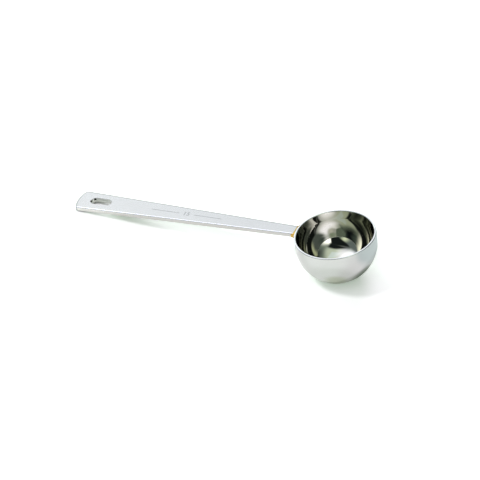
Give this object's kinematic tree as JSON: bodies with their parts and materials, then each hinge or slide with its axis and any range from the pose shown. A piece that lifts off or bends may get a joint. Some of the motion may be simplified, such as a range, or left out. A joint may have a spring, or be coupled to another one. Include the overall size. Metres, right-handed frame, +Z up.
{
  "type": "measuring spoon",
  "caption": "Long-handled measuring spoon: a deep round cup with a level rim, brazed to a flat tapering handle with a hanging slot.",
  "frame": {"origin": "on the table that the spoon lies on, under the middle of its length and width", "axes": "+Z up from the table, +X from the handle's end towards the cup, +Y across the spoon; it lies as in use between measures, on the cup's round bottom and the handle's far edge"},
  "size_m": [0.1448, 0.0366, 0.0255],
  "materials": {
    "bowl_steel": "stainless steel, mirror polished inside and finely polished outside",
    "handle_steel": "stainless steel, finely polished, with rounded edges",
    "braze_brass": "brass filler, as it flowed and set"
  },
  "bodies": {
    "root": {"bowl": "bowl_steel", "handle": "handle_steel", "braze_fillet": "braze_brass"}
  },
  "joints": []
}
